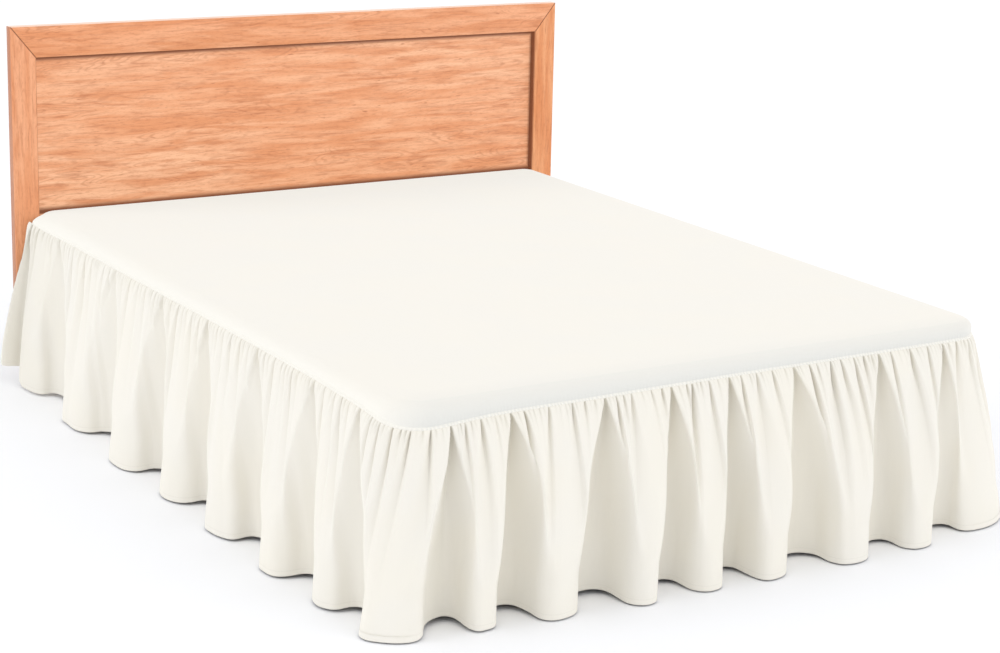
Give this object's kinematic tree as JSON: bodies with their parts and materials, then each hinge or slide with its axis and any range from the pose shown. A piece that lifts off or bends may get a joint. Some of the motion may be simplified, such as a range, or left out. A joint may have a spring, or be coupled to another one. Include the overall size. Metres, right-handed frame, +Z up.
{
  "type": "bed skirt on a bed",
  "caption": "Gathered cloth bed skirt, its platform cloth laid over a bed's foundation and its ruffle hanging to the floor on the sides and foot, with a plain wooden headboard.",
  "frame": {"origin": "middle of the object's box in plan, at the floor", "axes": "+X across the bed to the right as seen from the foot, +Y from the foot to the headboard, +Z up"},
  "size_m": [1.738, 2.1802, 0.9415],
  "materials": {
    "cloth": "matt ivory plain-weave cotton",
    "ticking": "plain white ticking",
    "headboard_wood": "satin clear finish on cherry",
    "frame_wood": "plain sanded pine"
  },
  "bodies": {
    "root": {"deck_panel": "cloth", "ruffle_left": "cloth", "ruffle_foot": "cloth", "ruffle_right": "cloth", "foundation": "ticking", "headboard_stile_left": "headboard_wood", "headboard_stile_right": "headboard_wood", "headboard_top_rail": "headboard_wood", "headboard_low_rail": "headboard_wood", "headboard_panel": "headboard_wood", "frame_foot_rail": "frame_wood", "frame_head_rail": "frame_wood", "frame_side_rail_left": "frame_wood", "frame_side_rail_right": "frame_wood", "frame_centre_rail": "frame_wood", "frame_leg_left_1": "frame_wood", "frame_leg_left_2": "frame_wood", "frame_leg_left_3": "frame_wood", "frame_leg_centre_1": "frame_wood", "frame_leg_centre_2": "frame_wood", "frame_leg_centre_3": "frame_wood", "frame_leg_right_1": "frame_wood", "frame_leg_right_2": "frame_wood", "frame_leg_right_3": "frame_wood"}
  },
  "joints": []
}
